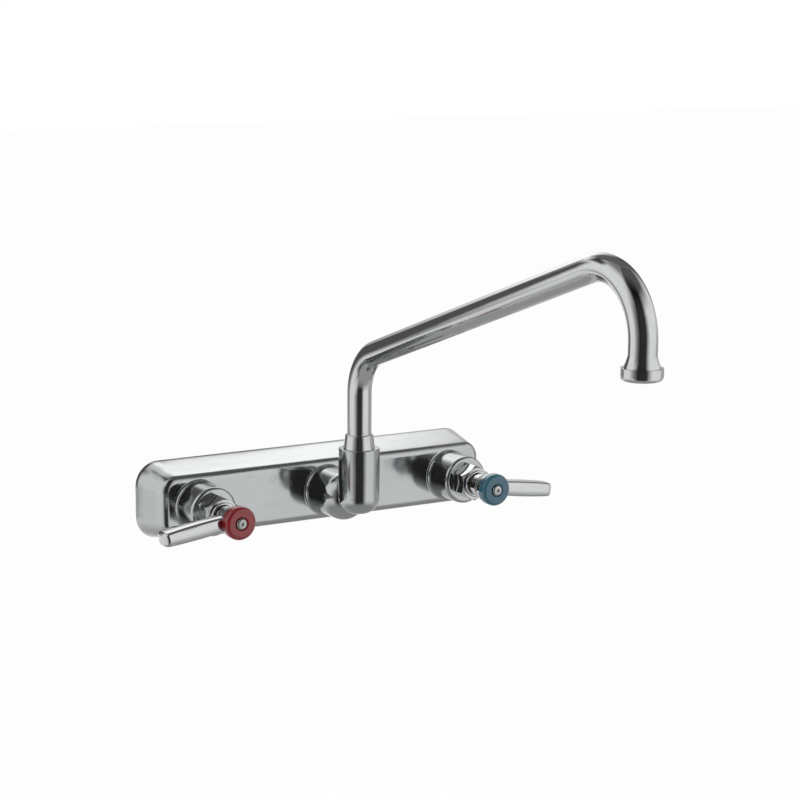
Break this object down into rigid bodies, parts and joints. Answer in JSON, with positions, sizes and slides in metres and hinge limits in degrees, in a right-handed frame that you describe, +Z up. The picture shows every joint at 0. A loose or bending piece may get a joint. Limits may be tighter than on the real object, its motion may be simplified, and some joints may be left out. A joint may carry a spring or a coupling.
{
  "type": "wall-mounted kitchen faucet",
  "caption": "Chrome wall-mounted kitchen faucet with a long rounded body, lever handles with coloured index rings, and a slanted swing spout.",
  "frame": {"origin": "on the wall plane, midway between the two inlets at the height of the valve axes", "axes": "+X along the wall towards the cold valve, -Y out of the wall towards the user, +Z up"},
  "size_m": [0.309, 0.3914, 0.225],
  "materials": {
    "chrome": "polished chrome plate on brass",
    "brass": "machined",
    "steel": "stainless, brushed",
    "disc_ceramic": "lapped alumina",
    "rubber": "moulded",
    "nylon": "moulded",
    "red_index": "glossy deep red",
    "blue_index": "glossy teal blue"
  },
  "bodies": {
    "body": {"body_casting": "chrome", "spout_nut": "chrome", "hot_cartridge_seal": "rubber", "hot_fixed_disc": "disc_ceramic", "hot_cartridge_housing": "brass", "hot_housing_o_ring": "rubber", "hot_bonnet_nut": "chrome", "cold_cartridge_seal": "rubber", "cold_fixed_disc": "disc_ceramic", "cold_cartridge_housing": "brass", "cold_housing_o_ring": "rubber", "cold_bonnet_nut": "chrome"},
    "hot_handle": {"hot_moving_disc": "disc_ceramic", "hot_stem": "brass", "hot_stem_o_rings": "rubber", "hot_stem_clip": "steel", "hot_handle_lever": "chrome", "hot_index_ring": "red_index", "hot_handle_screw": "steel"},
    "cold_handle": {"cold_moving_disc": "disc_ceramic", "cold_stem": "brass", "cold_stem_o_rings": "rubber", "cold_stem_clip": "steel", "cold_handle_lever": "chrome", "cold_index_ring": "blue_index", "cold_handle_screw": "steel"},
    "spout": {"spout_tube": "chrome", "spout_sleeve": "brass", "spout_o_rings": "rubber", "glide_washer": "nylon", "spout_tip": "chrome", "aerator_housing": "chrome", "aerator_insert": "nylon", "aerator_screen": "steel", "aerator_washer": "rubber"}
  },
  "joints": [
    {"name": "hot_handle_turn", "type": "hinge", "parent": "body", "child": "hot_handle", "pos_m": [-0.1016, -0.06, 0], "axis": [0, 1, 0], "range_deg": [0, 90]},
    {"name": "cold_handle_turn", "type": "hinge", "parent": "body", "child": "cold_handle", "pos_m": [0.1016, -0.06, 0], "axis": [0, -1, 0], "range_deg": [0, 90]},
    {"name": "spout_swing", "type": "hinge", "parent": "body", "child": "spout", "pos_m": [0, -0.0744, 0], "axis": [0, 0, 1], "range_deg": [-90, 90]}
  ]
}
